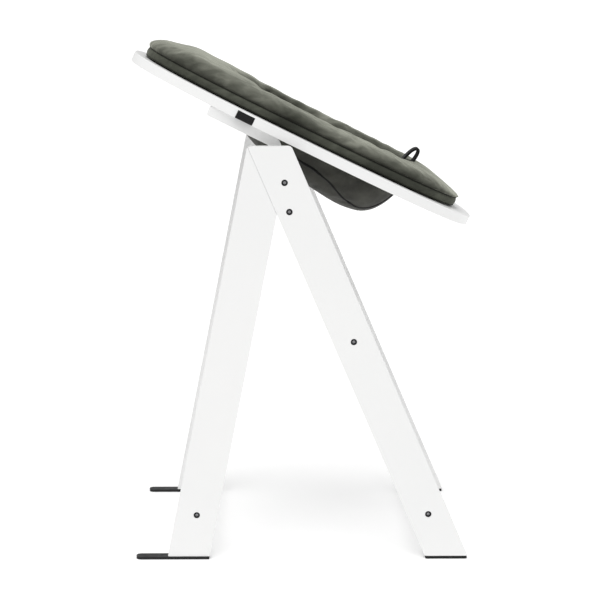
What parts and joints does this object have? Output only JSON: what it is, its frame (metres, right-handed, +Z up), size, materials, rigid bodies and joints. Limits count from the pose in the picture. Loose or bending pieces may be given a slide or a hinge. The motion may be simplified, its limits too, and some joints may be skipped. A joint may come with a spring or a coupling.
{
  "type": "bouncer seat",
  "caption": "Oval newborn seat with a padded liner, hung fabric pouch and reclining carrier, on a rigid wooden A-frame stand with anti-tip feet.",
  "frame": {"origin": "on the floor, under the middle of the object's bounding box", "axes": "+X towards the sitter's feet, +Y towards the sitter's left, +Z up"},
  "size_m": [0.6223, 0.432, 0.9162],
  "materials": {
    "white_lacquer": "satin lacquer",
    "dowel_wood": "bare",
    "black_steel": "satin powder coat",
    "dark_zinc": "black zinc",
    "black_nylon": "fine grain",
    "foot_rubber": "matte",
    "spring_steel": "bright",
    "velvet": "short velvet pile",
    "pouch_cloth": "matte brushed cloth",
    "webbing": "woven"
  },
  "bodies": {
    "stand": {"front_leg_right": "white_lacquer", "rear_leg_right": "white_lacquer", "front_leg_left": "white_lacquer", "rear_leg_left": "white_lacquer", "stop_rod": "dark_zinc", "front_middle_bar": "white_lacquer", "front_bottom_bar": "white_lacquer", "rear_bottom_bar": "white_lacquer", "stop_rod_bolt_right": "dark_zinc", "front_middle_bar_bolt_right": "dark_zinc", "front_bottom_bar_bolt_right": "dark_zinc", "rear_bottom_bar_bolt_right": "dark_zinc", "pivot_bolt_right": "dark_zinc", "pivot_spacer_right": "black_nylon", "pivot_nut_right": "dark_zinc", "seam_dowel_1_right": "dowel_wood", "seam_dowel_2_right": "dowel_wood", "anti_tip_plate_right": "black_steel", "plate_screw_1_right": "dark_zinc", "plate_screw_2_right": "dark_zinc", "front_foot_pad_right": "foot_rubber", "stop_rod_bolt_left": "dark_zinc", "front_middle_bar_bolt_left": "dark_zinc", "front_bottom_bar_bolt_left": "dark_zinc", "rear_bottom_bar_bolt_left": "dark_zinc", "pivot_bolt_left": "dark_zinc", "pivot_spacer_left": "black_nylon", "pivot_nut_left": "dark_zinc", "seam_dowel_1_left": "dowel_wood", "seam_dowel_2_left": "dowel_wood", "anti_tip_plate_left": "black_steel", "plate_screw_1_left": "dark_zinc", "plate_screw_2_left": "dark_zinc", "front_foot_pad_left": "foot_rubber"},
    "recline_carrier": {"arm_tie_rod": "dark_zinc", "support_arm_right": "white_lacquer", "pivot_bush_right": "black_nylon", "locating_pin_1_right": "dark_zinc", "locating_pin_2_right": "dark_zinc", "strike_pin_right": "dark_zinc", "support_arm_left": "white_lacquer", "pivot_bush_left": "black_nylon", "locating_pin_1_left": "dark_zinc", "locating_pin_2_left": "dark_zinc", "strike_pin_left": "dark_zinc"},
    "seat": {"seat_board": "white_lacquer", "cushion_base": "velvet", "cushion_rim": "velvet", "seat_liner": "velvet", "seat_pouch": "pouch_cloth", "crotch_loop": "webbing", "latch_housing_right": "black_nylon", "latch_spring_right": "spring_steel", "latch_housing_left": "black_nylon", "latch_spring_left": "spring_steel"},
    "latch_button_right": {"latch_button_right": "black_nylon"},
    "latch_button_left": {"latch_button_left": "black_nylon"}
  },
  "joints": [
    {"name": "recline", "type": "hinge", "parent": "stand", "child": "recline_carrier", "pos_m": [-0.0347, 0, 0.68], "axis": [0, 1, 0], "range_deg": [-16, 8]},
    {"name": "seat_lift", "type": "slide", "parent": "recline_carrier", "child": "seat", "axis": [0.4384, 0, 0.8988], "range_m": [0, 0.06]},
    {"name": "latch_right", "type": "slide", "parent": "seat", "child": "latch_button_right", "axis": [0, 1, 0], "range_m": [0, 0.003], "stiffness_N_per_m": 400},
    {"name": "latch_left", "type": "slide", "parent": "seat", "child": "latch_button_left", "axis": [0, -1, 0], "range_m": [0, 0.003], "stiffness_N_per_m": 400}
  ]
}
